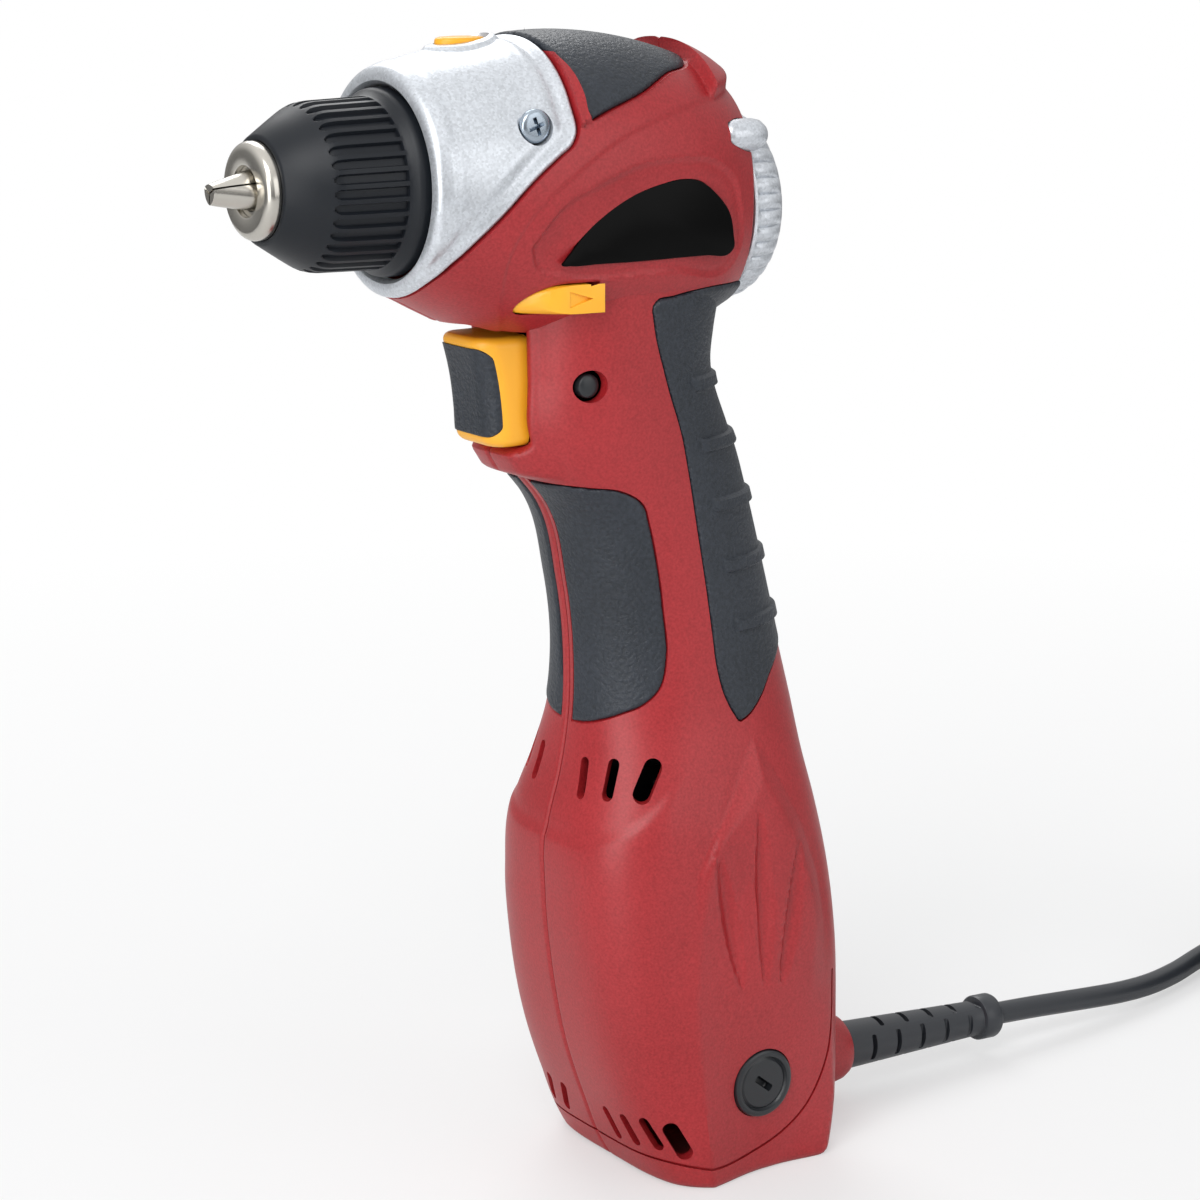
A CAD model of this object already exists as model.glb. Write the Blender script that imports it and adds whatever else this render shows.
# %% [markdown]
# # A right angle drill, dressed around its frame
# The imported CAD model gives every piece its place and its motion. This script lays the finer skins,
# grips and finishes over it. All shapes are worked out in millimetres and put into meshes in
# metres.

# %% Load the frame
import bmesh
import bpy
import numpy as np
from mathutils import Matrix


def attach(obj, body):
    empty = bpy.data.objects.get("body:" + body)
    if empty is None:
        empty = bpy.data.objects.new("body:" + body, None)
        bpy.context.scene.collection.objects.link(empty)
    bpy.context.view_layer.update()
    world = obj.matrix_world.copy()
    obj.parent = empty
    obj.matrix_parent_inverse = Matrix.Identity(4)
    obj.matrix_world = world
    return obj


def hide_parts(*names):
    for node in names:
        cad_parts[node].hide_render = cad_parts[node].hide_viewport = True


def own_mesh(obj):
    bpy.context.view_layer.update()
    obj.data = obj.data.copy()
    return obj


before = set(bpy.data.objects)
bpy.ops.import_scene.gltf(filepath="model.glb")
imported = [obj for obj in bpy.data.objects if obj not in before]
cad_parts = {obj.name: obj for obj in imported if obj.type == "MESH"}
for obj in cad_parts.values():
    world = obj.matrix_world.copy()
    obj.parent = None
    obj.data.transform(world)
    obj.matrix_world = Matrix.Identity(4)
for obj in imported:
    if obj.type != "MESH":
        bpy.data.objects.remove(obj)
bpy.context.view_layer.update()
MM = 0.001

# %% [markdown]
# ## The camera
# The photograph was taken with a long lens a little above the tool. The place and the focal length
# were solved from the chuck's circles and the base, so the camera is set by numbers and not by eye.

# %% Camera
from mathutils import Matrix, Vector


def placed(name, data):
    """A new object that holds the data, linked to the scene."""
    thing = bpy.data.objects.new(name, data)
    bpy.context.scene.collection.objects.link(thing)
    return thing


VIEW_TURN = np.radians(-34.5)
VIEW_DROP = np.radians(13.478)
level = np.cos(VIEW_DROP)
back = Vector((np.sin(VIEW_TURN) * level, -np.cos(VIEW_TURN) * level, np.sin(VIEW_DROP)))
right = Vector((np.cos(VIEW_TURN), np.sin(VIEW_TURN), 0))
up = back.cross(right)
eye = Vector((-436.056, -589.701, 314.124)) * MM
lens = bpy.data.cameras.new("photo_camera")
lens.sensor_width = 36
lens.lens = 93
camera = placed("photo_camera", lens)
camera.matrix_world = Matrix.Translation(eye) @ Matrix((right, up, back)).transposed().to_4x4()
bpy.context.scene.camera = camera
print("camera at", [round(c, 4) for c in eye], "lens", lens.lens)

# %% [markdown]
# ## Small tools
# A piece is a grid of points that a formula gives, so one function turns grids into faces and
# another puts them into a mesh. Cuts are made with closed cutters and Blender's boolean, which
# keeps the walls closed.

# %% Grids to meshes
def quads(rows, cols, wrap_rows=False, wrap_cols=False):
    """Corner numbers of the faces between neighbours on a rows by cols grid, numbered row by
    row."""
    i = np.arange(rows if wrap_rows else rows - 1)[:, None]
    j = np.arange(cols if wrap_cols else cols - 1)[None, :]
    i2, j2 = (i + 1) % rows, (j + 1) % cols
    corners = [i * cols + j, i * cols + j2, i2 * cols + j2, i2 * cols + j]
    return np.stack(np.broadcast_arrays(*corners), -1).reshape(-1, 4).tolist()


def mesh_object(name, points, faces):
    """An object at the origin whose mesh holds the points, given in millimetres."""
    mesh = bpy.data.meshes.new(name)
    mesh.from_pydata((np.asarray(points).reshape(-1, 3) * MM).tolist(), [], faces)
    mesh.validate()
    return placed(name, mesh)


def tube_solid(name, rings):
    """A closed solid through rings of points (levels x points x 3): the side quads and two end
    caps."""
    levels, count = rings.shape[:2]
    faces = quads(levels, count, wrap_cols=True)
    faces += [list(range(count))[::-1], list(range((levels - 1) * count, levels * count))]
    return face_outward(mesh_object(name, rings, faces))


def face_outward(thing):
    """Turns all faces outward when the enclosed volume comes out negative."""
    mesh = thing.data
    mesh.calc_loop_triangles()
    points = np.zeros(len(mesh.vertices) * 3)
    mesh.vertices.foreach_get("co", points)
    corners = np.zeros(len(mesh.loop_triangles) * 3, int)
    mesh.loop_triangles.foreach_get("vertices", corners)
    a, b, c = points.reshape(-1, 3)[corners.reshape(-1, 3)].transpose(1, 0, 2)
    if (a * np.cross(b, c)).sum() < 0:
        mesh.flip_normals()
    return thing


# %% Cutting and dressing
def applied(piece):
    """Bakes the piece's modifiers into its mesh."""
    done = bpy.data.meshes.new_from_object(
        piece.evaluated_get(bpy.context.evaluated_depsgraph_get()))
    piece.modifiers.clear()
    piece.data = done
    return piece


def carve(piece, cutter, how="DIFFERENCE"):
    """Applies one boolean of the cutter to the piece and removes the cutter."""
    change = piece.modifiers.new("carve", "BOOLEAN")
    change.operation, change.object, change.solver = how, cutter, "MANIFOLD"
    applied(piece)
    bpy.data.objects.remove(cutter)
    return piece


def on_side(piece, side):
    """Mirrors a piece that was made for positive Y when it belongs to the other side."""
    if side < 0:
        piece.data.transform(Matrix.Scale(-1, 4, (0, 1, 0)))
        piece.data.flip_normals()
    return piece


def merged(name, solids):
    """Several solids that don't touch, as one object."""
    joined = bmesh.new()
    for solid in solids:
        joined.from_mesh(solid.data)
        bpy.data.objects.remove(solid)
    mesh = bpy.data.meshes.new(name)
    joined.to_mesh(mesh)
    joined.free()
    return placed(name, mesh)


def dress(piece, slot, body, replaced, sharp=32, look=None):
    """Shades the piece smooth between edges above the sharp angle, gives it the finish of its slot
    or another look, and lets it ride on its body in place of the replaced nodes."""
    piece.data.materials.clear()
    piece.data.materials.append(look or FINISH[slot])
    piece.data.shade_smooth()
    piece.data.set_sharp_from_angle(angle=np.radians(sharp))
    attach(piece, body)
    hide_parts(*replaced)
    print(f"{piece.name}: {len(piece.data.polygons)} faces")
    return piece


# %% Simple cutters
SIDES = ((-1, "left"), (1, "right"))


def around(count):
    """Even angles once round."""
    return np.linspace(0, 2 * np.pi, count, endpoint=False)


def grid(rows, columns):
    """The two parameters of a surface as arrays of rows by columns."""
    return np.meshgrid(rows, columns, indexing="ij")


def levels_of(plan, heights):
    """One plan of (x, y) points repeated at each height."""
    return np.stack([np.column_stack([plan, np.full(len(plan), z)]) for z in heights])


def block(name, low, high):
    """A box between two corners."""
    x, y, z = zip(low, high)
    plan = np.array([[x[0], y[0]], [x[1], y[0]], [x[1], y[1]], [x[0], y[1]]], float)
    return tube_solid(name, levels_of(plan, z))


def turned(name, profile, origin, axis="x", sides=64):
    """A profile of (place along the axis, radius) turned about an axis through origin."""
    t = around(sides)
    along, radius = np.array(profile, float).T
    a = np.broadcast_to(along[:, None], (len(along), sides))
    b, c = radius[:, None] * np.cos(t), radius[:, None] * np.sin(t)
    order = {"x": (a, b, c), "y": (b, a, c), "z": (b, c, a)}[axis]
    return tube_solid(name, np.stack(order, -1) + np.array(origin, float))


def side_prism(name, outline, y0, y1):
    """A side view outline of (x, z) points swept from y0 to y1."""
    outline = np.array(outline, float)
    rings = np.stack([np.column_stack([outline[:, 0], np.full(len(outline), y),
                                       outline[:, 1]]) for y in (y0, y1)])
    return tube_solid(name, rings)


def smooth_step(value, low, high):
    """0 below low, 1 above high, and the cubic 3t^2 - 2t^3 between."""
    t = np.clip((value - low) / (high - low), 0, 1)
    return t * t * (3 - 2 * t)


# %% [markdown]
# ## The cord
# A six foot mains lead leaves the guard, drops to the floor and runs off to the right. The length
# that the photograph doesn't show is wound into a tied coil just outside the view, with the plug on
# it.

# %% Cord route
CORD_D = 6
GUARD_END = np.array([96.905, 0, 10.198])
LEAD = [[104, 0, 9.7], [112, 0, 9.1], [122, 0, 8.2], [134, 0.3, 7], [146, 1, 5.8], [158, 2.6, 4.9],
        [172, 6, 4.5], [186, 10.8, 4.5], [200, 15.2, 4.5], [212, 17.6, 4.5], [222, 18.4, 4.5]]
TAIL = [[246.8, 15.7, 25.5], [259.4, 7.4, 25.5], [268, -5.1, 25.7], [271, -20, 26.3],
        [268.3, -35, 27.5], [260, -48, 29], [247, -56.2, 30.4], [232, -58.5, 31.6],
        [217.8, -54.2, 32.3], [207.2, -44.8, 32.6], [201.5, -32.6, 32.7], [201, -20, 32.8],
        [204.3, -8.5, 33.1], [211, 0.8, 33.6], [217.5, 5.6, 34.4], [224, 8, 35.3], [230, 8.9, 36.2],
        [236, 9, 36.8]]
COIL_X, COIL_Y, COIL_Z = 232, -20, 4.5
COIL_OUT, COIL_IN, COIL_PITCH = 38.5, 27.5, 7
LAYERS, LAYER_TURNS, CLIMB_TURNS = 4, 1.375, 0.5
TURNS = LAYERS * LAYER_TURNS + (LAYERS - 1) * CLIMB_TURNS


def coil_points(t):
    """Points after t turns: the radius runs in and out by layers, and each climb is half a turn
    long."""
    layer = np.minimum(LAYERS - 1, np.floor(t / (LAYER_TURNS + CLIMB_TURNS)))
    local = t - layer * (LAYER_TURNS + CLIMB_TURNS)
    share = np.minimum(1, local / LAYER_TURNS)
    share = np.where(layer % 2 == 0, share, 1 - share)
    radius = COIL_OUT + (COIL_IN - COIL_OUT) * share
    height = COIL_Z + COIL_PITCH * (layer + smooth_step(local, LAYER_TURNS,
                                                        LAYER_TURNS + CLIMB_TURNS))
    angle = np.pi / 2 - 2 * np.pi * t
    return np.stack([COIL_X + radius * np.cos(angle), COIL_Y + radius * np.sin(angle), height], -1)


STEPS_PER_TURN = 24
coil = coil_points(np.linspace(0, TURNS, int(TURNS * STEPS_PER_TURN) + 1))
route = np.vstack([GUARD_END, LEAD, coil, TAIL])


def through(points, count):
    """A smooth line through the points: each coordinate is a cubic with even tangents over the
    length so far."""
    points = np.array(points, float)
    so_far = np.concatenate([[0], np.cumsum(np.linalg.norm(np.diff(points, axis=0), axis=1))])
    table = np.column_stack([so_far, points])
    t = np.linspace(0, so_far[-1], count)
    return np.stack([curve(t, table, k) for k in range(1, table.shape[1])], -1)


def curve(t, table, column):
    """Cubic through table[:, column] over table[:, 0]: the slope at a row is the weighted mean of
    its two chords."""
    x, y = table[:, 0], table[:, column]
    h = np.diff(x)
    chord = np.diff(y) / h
    slope = np.concatenate([chord[:1], (chord[:-1] * h[1:] + chord[1:] * h[:-1]) / (h[1:] + h[:-1]),
                            chord[-1:]])
    i = np.clip(np.searchsorted(x, t, side="right") - 1, 0, len(h) - 1)
    u = (t - x[i]) / h[i]
    return ((1 + 2 * u) * (1 - u) ** 2 * y[i] + u * (1 - u) ** 2 * h[i] * slope[i]
            + u * u * (3 - 2 * u) * y[i + 1] + u * u * (u - 1) * h[i] * slope[i + 1])


# %% [markdown]
# ## Finishes
# Each finish is mixed from noise in object space, so the grain has its real size in millimetres.
# The housing is ABS with a spark-eroded grain, the grips are a soft thermoplastic rubber, and the
# gear case is die-cast metal under a silver paint that holds small flakes.

# %% Material tools
def linear(digits):
    """A display colour in hex digits as linear light: the sRGB curve undone."""
    s = np.array([int(digits[k:k + 2], 16) for k in (0, 2, 4)]) / 255
    return (*np.where(s <= 0.04045, s / 12.92, ((s + 0.055) / 1.055) ** 2.4), 1.0)


def node(tree, kind, inputs, **settings):
    """Adds one node. An input is a value or the socket it is linked to."""
    made = tree.nodes.new(kind)
    for key, value in settings.items():
        setattr(made, key, value)
    for key, value in inputs.items():
        if isinstance(value, bpy.types.NodeSocket):
            tree.links.new(value, made.inputs[key])
        else:
            made.inputs[key].default_value = value
    return made


def finish(name, light, dark, rough, grain, depth, rough_spread=0.05, flake=0, mottle=0, **shader):
    """Colour between two tones by a broad noise, a bump of the given depth from a noise of the
    given grain, and where mottle is above 0 a share of the tone that follows the grain."""
    material = bpy.data.materials.new(name)
    material.use_nodes = True
    tree = material.node_tree
    tree.nodes.clear()
    place = node(tree, "ShaderNodeTexCoord", {}).outputs["Object"]
    broad = node(tree, "ShaderNodeTexNoise", {"Vector": place, "Scale": 1 / (30 * MM),
                                              "Detail": 4}).outputs["Fac"]
    fine = node(tree, "ShaderNodeTexNoise", {"Vector": place, "Scale": 1 / (grain * MM),
                                             "Detail": 2}).outputs["Fac"]
    share = broad
    if mottle:
        share = node(tree, "ShaderNodeMix", {0: mottle, 2: broad, 3: fine},
                     data_type="FLOAT").outputs[0]
        share = node(tree, "ShaderNodeMapRange", {0: share, 1: 0.35, 2: 0.65}).outputs[0]
    tone = node(tree, "ShaderNodeMix", {0: share, 6: linear(dark), 7: linear(light)},
                data_type="RGBA").outputs[2]
    if flake:
        cells = node(tree, "ShaderNodeTexVoronoi",
                     {"Vector": place, "Scale": 1 / (flake * MM)}).outputs["Color"]
        glint = node(tree, "ShaderNodeMapRange",
                     {0: cells, 1: 0.0, 2: 1.0, 3: 0.82, 4: 1.14}).outputs[0]
        tone = node(tree, "ShaderNodeMix", {0: 1.0, 6: tone, 7: glint}, data_type="RGBA",
                    blend_type="MULTIPLY").outputs[2]
    gloss = node(tree, "ShaderNodeMapRange",
                 {0: broad, 3: rough - rough_spread, 4: rough + rough_spread}).outputs[0]
    bump = node(tree, "ShaderNodeBump",
                {"Height": fine, "Distance": depth * MM, "Strength": 1.0}).outputs[0]
    values = {key.replace("_", " ").title().replace("Ior", "IOR"): value
              for key, value in shader.items()}
    skin = node(tree, "ShaderNodeBsdfPrincipled",
                {"Base Color": tone, "Roughness": gloss, "Normal": bump, **values}).outputs[0]
    node(tree, "ShaderNodeOutputMaterial", {"Surface": skin})
    return material


# %% The finishes
FINISH = {
    # ABS, moulded in a fine spark-eroded tool
    "red_shell": finish("abs_red", "A5252A", "8C171C", 0.4, 0.6, 0.03, mottle=0.7),
    # thermoplastic rubber, overmoulded on the ABS, with a leathery grain
    "grip_rubber": finish("tpe_charcoal", "2D323A", "1D2228", 0.46, 0.9, 0.34, mottle=0.6,
                          specular_ior_level=0.4),
    # die-cast zinc alloy under flake paint
    "silver_paint": finish("flake_paint_silver", "CFD3D8", "C6CAD0", 0.34, 0.4, 0.01, flake=0.5,
                           metallic=0.6),
    # acrylic sheet, printed black from behind
    "plate_black": finish("acrylic_black", "040404", "020202", 0.3, 2.0, 0.001, rough_spread=0.03,
                          specular_ior_level=0.08),
    # hardened and ground tool steel
    "steel": finish("tool_steel", "CBC7BF", "B5B1A9", 0.22, 0.25, 0.003, metallic=1.0),
    # electrical steel sheets
    "laminations": finish("electrical_steel", "6E6C69", "5C5A57", 0.5, 0.4, 0.01, metallic=0.9),
    # enamelled copper wire
    "copper": finish("enamelled_copper", "B3622F", "964C22", 0.35, 0.6, 0.02, metallic=0.9),
    # sintered bronze
    "bronze": finish("sintered_bronze", "A77F45", "8E6A38", 0.45, 0.3, 0.01, metallic=0.9),
    # pressed carbon
    "carbon": finish("brush_carbon", "2A2A2B", "1F1F20", 0.6, 0.3, 0.01),
    # glass filled nylon
    "black_plastic": finish("nylon_black", "1E2125", "181B1E", 0.34, 0.4, 0.012),
    # glass filled nylon of the chuck sleeve, finely grained
    "sleeve_plastic": finish("nylon_sleeve", "171B21", "12151A", 0.42, 0.4, 0.014,
                             specular_ior_level=0.28),
    # acetal, moulded smooth
    "yellow_plastic": finish("acetal_yellow", "F2AE2A", "EDA722", 0.38, 0.6, 0.006),
    # vulcanised rubber of the cord and its guard
    "cord_rubber": finish("cord_rubber", "2B2E33", "22252A", 0.36, 0.6, 0.02),
}
NODE_FINISH = {
    "steel": "gear_case_screws housing_screws lower_bearing upper_bearing armature_shaft "
             "motor_pinion reduction_gear drive_shaft drive_bearing bevel_pinion bevel_gear "
             "spindle spindle_bearing chuck_body nose_ring jaw_nut jaw_1 jaw_2 jaw_3 "
             "spindle_lock_pin spindle_lock_spring plug_blades",
    "laminations": "field_core armature_core",
    "copper": "field_coils armature_windings commutator",
    "bronze": "drive_bush spindle_bush brush_holders",
    "carbon": "carbon_brushes",
    "black_plastic": "fan switch_body cord_clamp lock_button left_brush_cap right_brush_cap",
}
for slot, names in NODE_FINISH.items():
    for name in names.split():
        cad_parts[name].data.materials.clear()
        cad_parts[name].data.materials.append(FINISH[slot])
print(len(FINISH), "finishes")

# %% [markdown]
# ## The cord as one curve
# The cord is drawn as a single curve with a round section. It is one unbroken line from the guard
# to the plug.

# %% Cord curve
CORD_POINTS = 1400
line = through(route, CORD_POINTS)
bent = bpy.data.curves.new("cord_line", "CURVE")
bent.dimensions = "3D"
bent.bevel_depth = CORD_D / 2 * MM
bent.bevel_resolution = 4
bent.use_fill_caps = True
spline = bent.splines.new("POLY")
spline.points.add(len(line) - 1)
spline.points.foreach_set("co", np.column_stack([line * MM, np.ones(len(line))]).ravel())
cord = placed("cord_line", bent)
bent.materials.append(FINISH["cord_rubber"])
spline.use_smooth = True
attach(cord, "housing")
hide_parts("cord", "cord_coil")

# %% [markdown]
# ## The plug and the tie
# The plug is moulded on the cord in one shot, so its edges are all round. The tie is a flat strap.

# %% Plug and tie
def rounded(piece, width, segments=3, angle=30):
    """Rounds the edges of a plain solid with a bevel of the given width in millimetres."""
    bevel = piece.modifiers.new("round", "BEVEL")
    bevel.width, bevel.segments, bevel.limit_method = width * MM, segments, "ANGLE"
    bevel.angle_limit = np.radians(angle)
    return applied(piece)


PLUG_Z, PLUG_ROUND = (28.8, 44.8), 2.2
TIE_LOW, TIE_HIGH, TIE_THICK = np.array([229.5, -63, 0]), np.array([234.5, -43, 36.4]), 1.2
plug_plan = np.array([[0, -4.8], [0, 4.8], [16, 5], [22, 8], [27.3, 12], [34, 12], [34, -12],
                      [27.3, -12], [22, -8], [16, -5]]) + TAIL[-1][:2]
plug = tube_solid("plug", levels_of(plug_plan, PLUG_Z))
plug = dress(rounded(plug, PLUG_ROUND, 4), "cord_rubber", "housing", ["plug_body"])
tie = block("tie", TIE_LOW, TIE_HIGH)
past = np.array([-1.5, TIE_THICK, TIE_THICK])
carve(tie, block("tie_inside", TIE_LOW + past, TIE_HIGH - past))
dress(tie, "cord_rubber", "housing", ["cord_tie"])

# %% [markdown]
# ## The cord guard
# A tapered rubber sleeve keeps the cord from kinking where it leaves the housing. Slots cut from
# both sides make it bend evenly. It is turned along X first and then tipped to the droop of the
# real one.

# %% Cord guard
GUARD_X, GUARD_Z, DROOP = 32, 13.6, np.radians(3)
GUARD_ROOT, GUARD_LEN = 12, 65
SLITS, SLIT_W, SLIT_HALF, SLIT_FLOOR, SLIT_TOP, SLIT_SHIFT = 5, 1.5, 3.4, 3.8, 9, 4.2
guard = turned("guard", [(0, 3.1), (0, 6.3), (12, 6.3), (12.6, 6.25), (58.4, 4.7), (59, 4.9),
                         (59.3, 5.7), (59.8, 6), (64.2, 6), (64.8, 5.7), (65, 5.2), (65, 3.1)],
               (0, 0, 0))
carve(guard, turned("guard_bore", [(-1, 3.05), (GUARD_LEN + 1, 3.05)], (0, 0, 0)))
for start in GUARD_ROOT + (GUARD_LEN - GUARD_ROOT) * (0.14 + 0.16 * np.arange(SLITS)):
    for side in (-1, 1):
        deep, top, next_start = side * SLIT_FLOOR, side * SLIT_TOP, start + SLIT_SHIFT
        beside = block("slit", (start, deep, -SLIT_HALF), (start + SLIT_W, top, SLIT_HALF))
        over = block("slit", (next_start, -SLIT_HALF, deep), (next_start + SLIT_W, SLIT_HALF, top))
        carve(guard, rounded(beside, 0.4))
        carve(guard, rounded(over, 0.4))
guard.data.transform(Matrix.Rotation(DROOP, 4, "Y"))
guard.data.transform(Matrix.Translation((GUARD_X * MM, 0, GUARD_Z * MM)))
dress(guard, "cord_rubber", "housing", ["cord_guard"])

# %% [markdown]
# ## The skin of the housing
# The handle is a stack of level sections and the head is a row of upright ones. Each section is a
# superellipse, |x/a|^n + |y/b|^n = 1, whose sizes follow smooth tables. These are the same tables
# that the CAD model holds.

# %% Section tables
AXIS_H, REACH, HALF_W = 244.7, 47.2, 31.4
HEAD_X, HEAD_LEN, RISE, DROP, HEAD_W = -89.5, 86.5, 31.3, 38.7, 29.2
HANDLE = np.array([
    [0, -0.58, 0.52, 0.905, 4.5], [0.025, -0.655, 0.545, 0.93, 4.4],
    [0.075, -0.76, 0.572, 0.962, 4.2], [0.13, -0.86, 0.58, 0.987, 4], [0.23, -0.966, 0.572, 1, 3.8],
    [0.3, -1, 0.532, 0.988, 3.6], [0.37, -0.978, 0.473, 0.94, 3.2],
    [0.42, -0.905, 0.432, 0.86, 2.8], [0.475, -0.856, 0.406, 0.765, 2.4],
    [0.53, -0.848, 0.35, 0.713, 2.2], [0.61, -0.892, 0.24, 0.688, 2.2],
    [0.69, -1.012, 0.115, 0.688, 2.3], [0.73, -1.18, 0.045, 0.697, 2.4],
    [0.755, -1.25, -0.015, 0.708, 2.45], [0.82, -1.262, -0.138, 0.735, 2.5],
    [0.85, -1.265, -0.125, 0.75, 2.5], [0.88, -1.27, -0.1, 0.765, 2.5],
    [0.94, -1.28, -0.1, 0.77, 2.5]])
HEAD = np.array([
    [0, 0.783, 0.633, 0.829, 2], [0.052, 0.837, 0.685, 0.87, 2], [0.145, 0.898, 0.788, 0.921, 2.03],
    [0.237, 0.936, 0.886, 0.955, 2.05], [0.41, 0.994, 0.948, 0.993, 2.2], [0.55, 1, 0.982, 1, 2.3],
    [0.69, 0.955, 1, 0.985, 2.35], [0.8, 0.882, 0.98, 0.952, 2.4], [0.92, 0.76, 0.93, 0.87, 2.4],
    [1, 0.633, 0.866, 0.78, 2.3]])


def polar(angle, a, b, n):
    """Distance from the middle of a superellipse to its edge along an angle."""
    return (np.abs(np.cos(angle) / a) ** n + np.abs(np.sin(angle) / b) ** n) ** (-1 / n)


def handle_sizes(z):
    """Middle X, half depth, half width and squareness of the level section at z."""
    s = z / AXIS_H
    front, rear = REACH * curve(s, HANDLE, 1), REACH * curve(s, HANDLE, 2)
    return (front + rear) / 2, (rear - front) / 2, HALF_W * curve(s, HANDLE, 3), curve(s, HANDLE, 4)


def head_sizes(x):
    """Middle Z, half height, half width and squareness of the upright section at x."""
    s = (x - HEAD_X) / HEAD_LEN
    top, low = RISE * curve(s, HEAD, 1), DROP * curve(s, HEAD, 2)
    return AXIS_H + (top - low) / 2, (top + low) / 2, HEAD_W * curve(s, HEAD, 3), curve(s, HEAD, 4)


def handle_skin(z, angle, lift=0):
    """Points of the handle on the side of positive Y; angle 0 is the rear seam and pi the front
    one."""
    middle, a, b, n = handle_sizes(z)
    r = polar(angle, a, b, n) + lift
    return np.stack([middle + r * np.cos(angle), r * np.sin(angle), z + 0 * r], -1)


def head_skin(x, angle, lift=0):
    """Points of the head; angle 0 is the side of positive Y and pi / 2 the top seam."""
    middle, h, w, n = head_sizes(x)
    r = polar(angle, w, h, n) + lift
    return np.stack([x + 0 * r, r * np.cos(angle), middle + r * np.sin(angle)], -1)


print("half depth and half width of the handle at mid height:",
      [round(float(size), 1) for size in handle_sizes(AXIS_H / 2)[1:3]], "mm")

# %% [markdown]
# ## Relief on the skin
# The moulder cut shallow forms into the tool: a raised panel on the motor bulge with three
# claw-like grooves, a raised band over the head, a dished place for the name plate and a groove
# round the base. Each is a height that depends on the distance to a line in the side view.

# %% Distances in the side view
def line_distance(x, z, points, closed=False):
    """Distance to a chain of straight pieces. The sign is positive to the left of the chain, or
    inside a loop."""
    points = np.array(points, float)
    ends = np.roll(points, -1, 0)
    if not closed:
        points, ends = points[:-1], ends[:-1]
    best, sign = np.full(np.shape(x), 1e9), np.ones(np.shape(x))
    inside = np.zeros(np.shape(x), bool)
    for (ax, az), (bx, bz) in zip(points, ends):
        t = np.clip(((x - ax) * (bx - ax) + (z - az) * (bz - az))
                    / ((bx - ax) ** 2 + (bz - az) ** 2), 0, 1)
        away = np.hypot(x - ax - t * (bx - ax), z - az - t * (bz - az))
        turn = (bx - ax) * (z - az) - (bz - az) * (x - ax)
        sign = np.where(away < best, np.sign(turn), sign)
        best = np.minimum(best, away)
        if az != bz:
            inside ^= ((az > z) != (bz > z)) & (x < ax + (z - az) * (bx - ax) / (bz - az))
    return np.where(inside, best, -best) if closed else best * sign


def roll(distance, radius):
    """Depth of a round edge: 0 from the radius inward, and the full radius at the edge."""
    return radius * (1 - np.sqrt(1 - (1 - np.clip(distance / radius, 0, 1)) ** 2))


PANEL = [(-3.7, 110.6), (-12, 98), (-19, 88.5), (-23.4, 80.5), (-24.6, 70.9), (-25.1, 50.4),
         (-24.1, 34.9), (-21.5, 20), (-17.2, 5.2), (-6.3, 5.4), (2.8, 8.4), (8.2, 13.1), (12, 19.2),
         (14.8, 35), (15.6, 50), (15.4, 62.3), (13.2, 74.9), (8.5, 88), (2.5, 100)]
CLAWS = [((-18.4, 85.6), (-11, 49.9)), ((-6.1, 94.3), (-4.4, 49.1)), ((5.7, 84.6), (0.2, 48.6))]
BASE_LINE = through([(-45, 7.2), (-30, 8), (-23.2, 6.5), (-18, 5.5), (-6.4, 6.3), (3.8, 10.1),
                     (10.1, 14.8), (14.2, 21), (17.1, 27.8), (18.6, 36), (19.5, 48)], 60)
# The two corners of the motor housing: height z, place x, height of the ridge and its half width
CORNERS = [([0, 5.6, 22.9, 37.4, 49.7, 67.2, 93, 105],
            [-16.5, -18.1, -21.1, -23.3, -24.4, -23.1, -16.9, -12],
            [3.4, 3, 1.9, 1.3, 1, 0.7, 0.3, 0], [16, 15, 12, 10, 9, 8, 7, 7]),
           ([0, 14.3, 27.3, 45, 60], [15.5, 18.1, 18, 18, 18], [2.6, 1.8, 1, 0, 0],
            [12, 10, 9, 8, 8])]
SHOULDER = through([(-52, 88), (-46.5, 88.3), (-45.8, 88.9), (-42.8, 90.8), (-38.5, 93),
                    (-31.3, 98.3), (-22, 107)], 40)
CREASE = through([(-2, 263.4), (-6.1, 262.6), (-29, 258.8), (-46, 253.2), (-58.1, 246.1),
                  (-67.5, 238.5), (-71.8, 230.4), (-71.1, 221.4), (-66.3, 212.8), (-62, 207)], 60)
# Where the shell ends and the gear case begins, from the top down
JOINT = through([(-54.5, 300), (-54.5, 262), (-54.8, 255.5), (-56.5, 252.9), (-59.2, 251.1),
                 (-66.8, 245.4), (-73.4, 239.1), (-79.1, 233.2), (-83.6, 227.4), (-86.2, 223.6),
                 (-87.2, 220), (-87.2, 190)], 140)
PAD_LINE = through([(-51.9, 257.9), (-46.7, 259.7), (-36.5, 263), (-26.4, 266.8), (-15.1, 269.5)],
                   30)
DISH = through([(-67, 231.5), (-60, 240), (-50, 244.5), (-40, 248), (-28, 249), (-18, 248),
                (-11, 243), (-8.5, 235), (-8.5, 226), (-11, 222.8), (-30, 223.4), (-58, 224.4),
                (-65, 226.5), (-67, 231.5)], 80)[:-1]

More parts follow.
